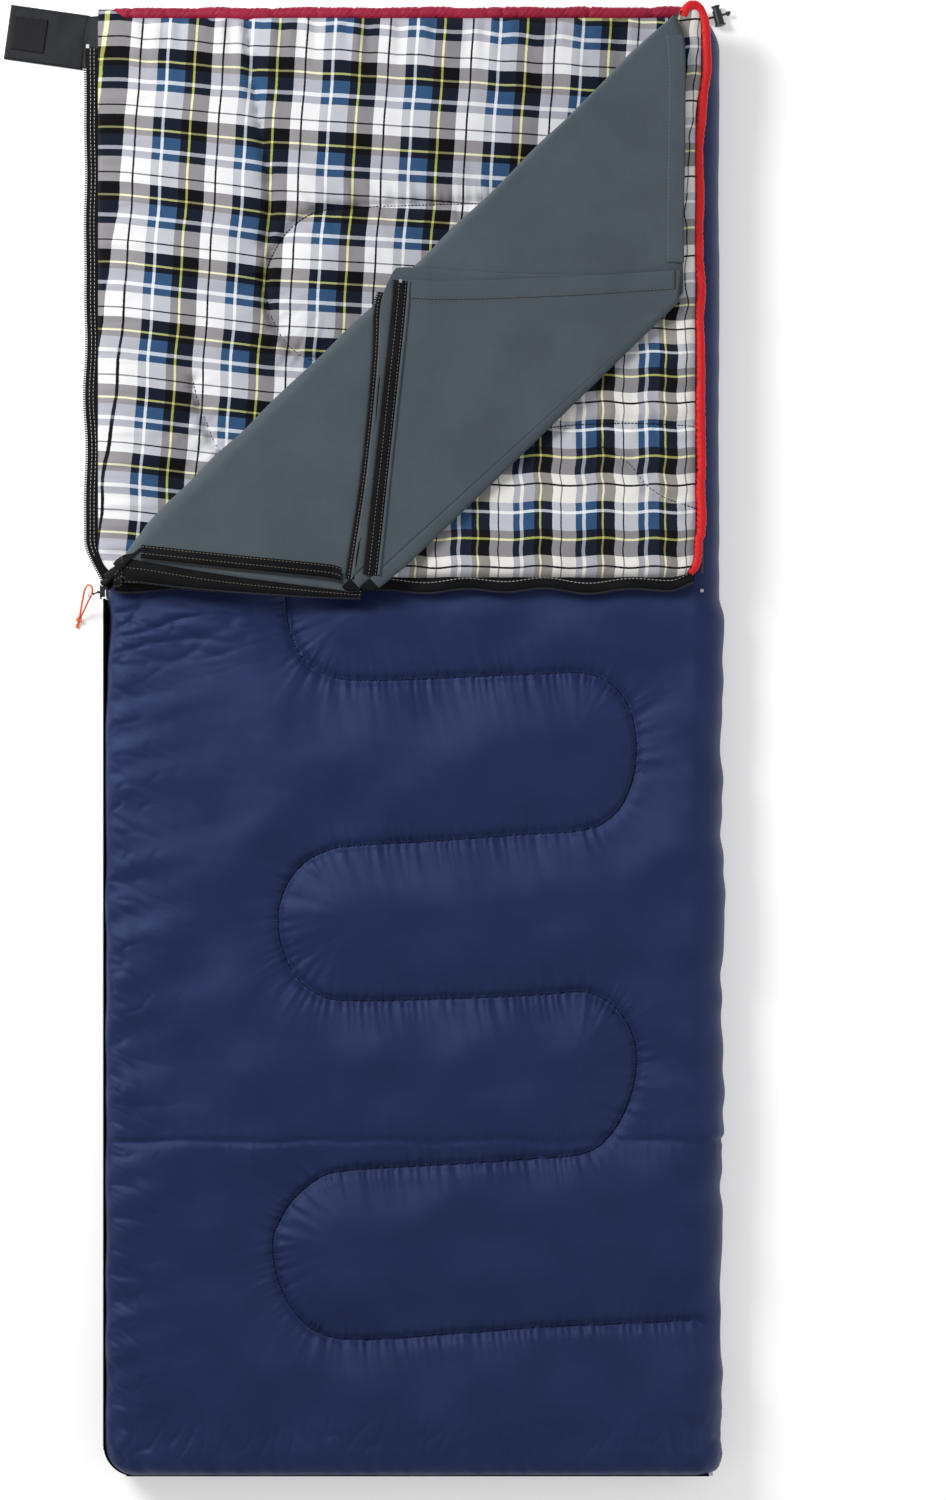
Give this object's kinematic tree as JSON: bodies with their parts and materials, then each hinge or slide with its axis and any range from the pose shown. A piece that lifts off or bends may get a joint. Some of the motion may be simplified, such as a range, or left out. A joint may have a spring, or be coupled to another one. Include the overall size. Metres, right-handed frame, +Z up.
{
  "type": "rectangular sleeping bag",
  "caption": "Rectangular quilted sleeping bag lying flat, zipped along one side and the foot, with a nested fleece liner and its head corner folded open.",
  "frame": {"origin": "centre of the bag's underside, on the floor it lies on, midway along its length and width", "axes": "+Z up, +Y towards the head, +X away from the zipped side"},
  "size_m": [0.9498, 1.9144, 0.118],
  "materials": {
    "navy_shell": "satin polyester, quilted",
    "plaid_flannel": "brushed flannel, woven check",
    "wadding": "loose hollow fibre",
    "fleece": "short fleece, matt",
    "zip_tape": "woven tape, white stitching",
    "zip_coil": "nylon coil",
    "zip_metal": "plated wire",
    "crimson_hem": "satin, gathered",
    "red_hem": "satin, gathered",
    "drawcord": "braided elastic",
    "black_metal": "black enamel",
    "black_plastic": "moulded",
    "pull_cord": "braided",
    "loop_patch": "loop pile",
    "hook_patch": "nylon hooks",
    "tab_satin": "satin",
    "spring_steel": "bright wire"
  },
  "bodies": {
    "bag": {"back_shell": "navy_shell", "back_fill": "wadding", "back_lining": "plaid_flannel", "front_shell": "navy_shell", "front_fill": "wadding", "front_lining": "plaid_flannel", "side_shell": "navy_shell", "side_fill": "wadding", "side_lining": "plaid_flannel", "back_zip_tape": "zip_tape", "front_zip_tape": "zip_tape", "back_zip_coil": "zip_coil", "front_zip_coil": "zip_coil", "bag_zip_stops": "zip_metal", "back_head_hem": "crimson_hem", "drawcord": "drawcord", "drawcord_tail": "drawcord", "drawcord_knot": "drawcord", "liner_upper_sheet": "fleece", "liner_lower_sheet": "fleece", "liner_binding": "fleece", "liner_upper_zip": "zip_tape", "liner_lower_zip": "zip_tape", "front_lining_fold": "plaid_flannel", "front_fill_fold": "wadding", "liner_upper_fold": "fleece", "liner_lower_fold": "fleece"},
    "flap": {"flap_shell": "navy_shell", "flap_fill": "wadding", "flap_lining": "plaid_flannel", "flap_zip_tape": "zip_tape", "flap_zip_coil": "zip_coil", "flap_zip_stop": "zip_metal", "flap_head_hem": "red_hem", "flap_drawcord": "drawcord", "flap_loop_patch": "loop_patch", "liner_upper_flap": "fleece", "liner_lower_flap": "fleece", "liner_upper_flap_zip": "zip_tape", "liner_lower_flap_zip": "zip_tape", "corner_upper_fold": "fleece", "corner_lower_fold": "fleece"},
    "liner_corner": {"liner_upper_corner": "fleece", "liner_upper_corner_zip": "zip_tape", "liner_zip_stop": "zip_metal"},
    "liner_corner_inner": {"liner_lower_corner": "fleece", "liner_lower_corner_zip": "zip_tape"},
    "closure_tab": {"tab_fabric": "tab_satin", "tab_hook_patch": "hook_patch"},
    "zip_slider": {"slider_body": "black_metal"},
    "zip_pull": {"pull_tab": "black_plastic", "pull_ring": "zip_metal", "pull_cord_outer": "pull_cord", "pull_cord_inner": "pull_cord", "pull_knot": "pull_cord"},
    "liner_zip_slider": {"liner_slider": "black_metal"},
    "cord_lock": {"lock_body": "black_plastic", "lock_spring": "spring_steel"},
    "lock_plunger": {"lock_button": "black_plastic"}
  },
  "joints": [
    {"name": "flap_fold", "type": "hinge", "parent": "bag", "child": "flap", "pos_m": [-0.02, 0.57, 0.075], "axis": [-0.7071, -0.7071, 0], "range_deg": [0, 180], "deforming": ["front_lining_fold", "front_fill_fold", "liner_upper_fold", "liner_lower_fold"]},
    {"name": "corner_fold", "type": "hinge", "parent": "flap", "child": "liner_corner", "pos_m": [-0.0605, 0.199, 0.1117], "axis": [0.7373, 0.6756, 0], "range_deg": [0, 180], "deforming": ["corner_upper_fold"]},
    {"name": "corner_inner_fold", "type": "hinge", "parent": "flap", "child": "liner_corner_inner", "pos_m": [-0.0855, 0.199, 0.1117], "axis": [0.7461, 0.6659, 0], "range_deg": [0, 180], "deforming": ["corner_lower_fold"]},
    {"name": "tab_fold", "type": "hinge", "parent": "bag", "child": "closure_tab", "pos_m": [-0.414, 0.92, 0.041], "axis": [0, 1, 0], "range_deg": [0, 180]},
    {"name": "zip_slide", "type": "slide", "parent": "bag", "child": "zip_slider", "axis": [0, 1, 0], "range_m": [-1.05, 0.6]},
    {"name": "pull_swing", "type": "hinge", "parent": "zip_slider", "child": "zip_pull", "pos_m": [-0.4055, 0.195, 0.037], "axis": [0, 0, 1], "range_deg": [-45, 0]},
    {"name": "liner_zip_slide", "type": "slide", "parent": "bag", "child": "liner_zip_slider", "axis": [0, 1, 0], "range_m": [-1.05, 0]},
    {"name": "lock_slide", "type": "slide", "parent": "bag", "child": "cord_lock", "axis": [0.9659, 0.2588, 0], "range_m": [-0.008, 0.002]},
    {"name": "lock_press", "type": "slide", "parent": "cord_lock", "child": "lock_plunger", "axis": [0.2588, -0.9659, 0], "range_m": [0, 0.003], "stiffness_N_per_m": 400, "springref_m": -0.004, "deforming": ["lock_spring"]}
  ],
  "couplings": [
    {"joint": "corner_inner_fold", "follows": "corner_fold", "ratio": 1}
  ]
}
